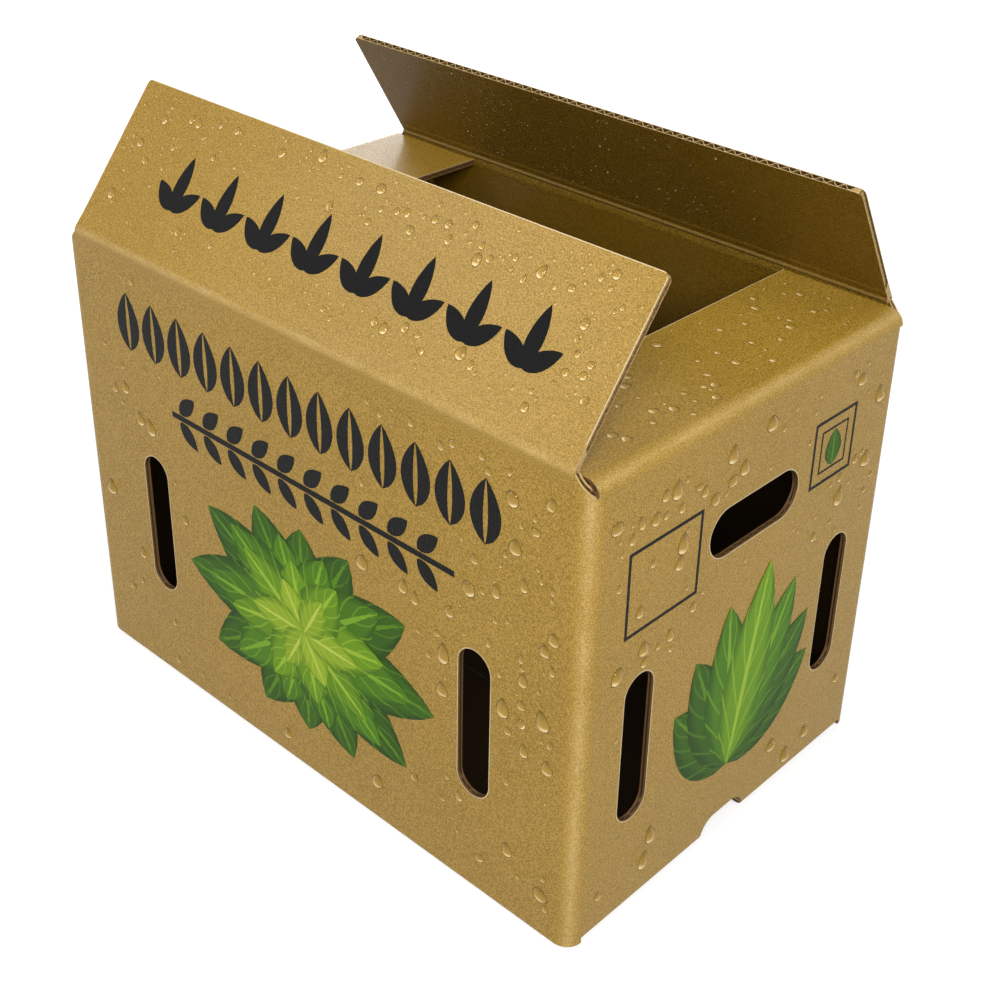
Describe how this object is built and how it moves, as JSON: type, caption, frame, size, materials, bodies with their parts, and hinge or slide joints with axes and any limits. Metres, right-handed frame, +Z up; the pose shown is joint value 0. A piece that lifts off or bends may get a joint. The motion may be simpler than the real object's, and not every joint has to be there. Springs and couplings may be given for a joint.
{
  "type": "waxed produce box",
  "caption": "Waxed corrugated produce carton with vent slots, hand holes, drain notches, inward end flaps and creased long flaps that turn.",
  "frame": {"origin": "centre of the base, on the floor", "axes": "+X along the box to the right end, -Y to the front, +Z up"},
  "size_m": [0.45, 0.292, 0.404],
  "materials": {
    "board": "golden-brown kraft board under semi-gloss wax"
  },
  "bodies": {
    "carton": {"carton": "board"},
    "front_flap": {"front_flap": "board"},
    "rear_flap": {"rear_flap": "board"}
  },
  "joints": [
    {"name": "front_crease", "type": "hinge", "parent": "carton", "child": "front_flap", "pos_m": [0, -0.1452, 0.3192], "axis": [1, 0, 0], "range_deg": [-52, 183]},
    {"name": "rear_crease", "type": "hinge", "parent": "carton", "child": "rear_flap", "pos_m": [0, 0.1452, 0.3192], "axis": [-1, 0, 0], "range_deg": [-59, 176]}
  ]
}
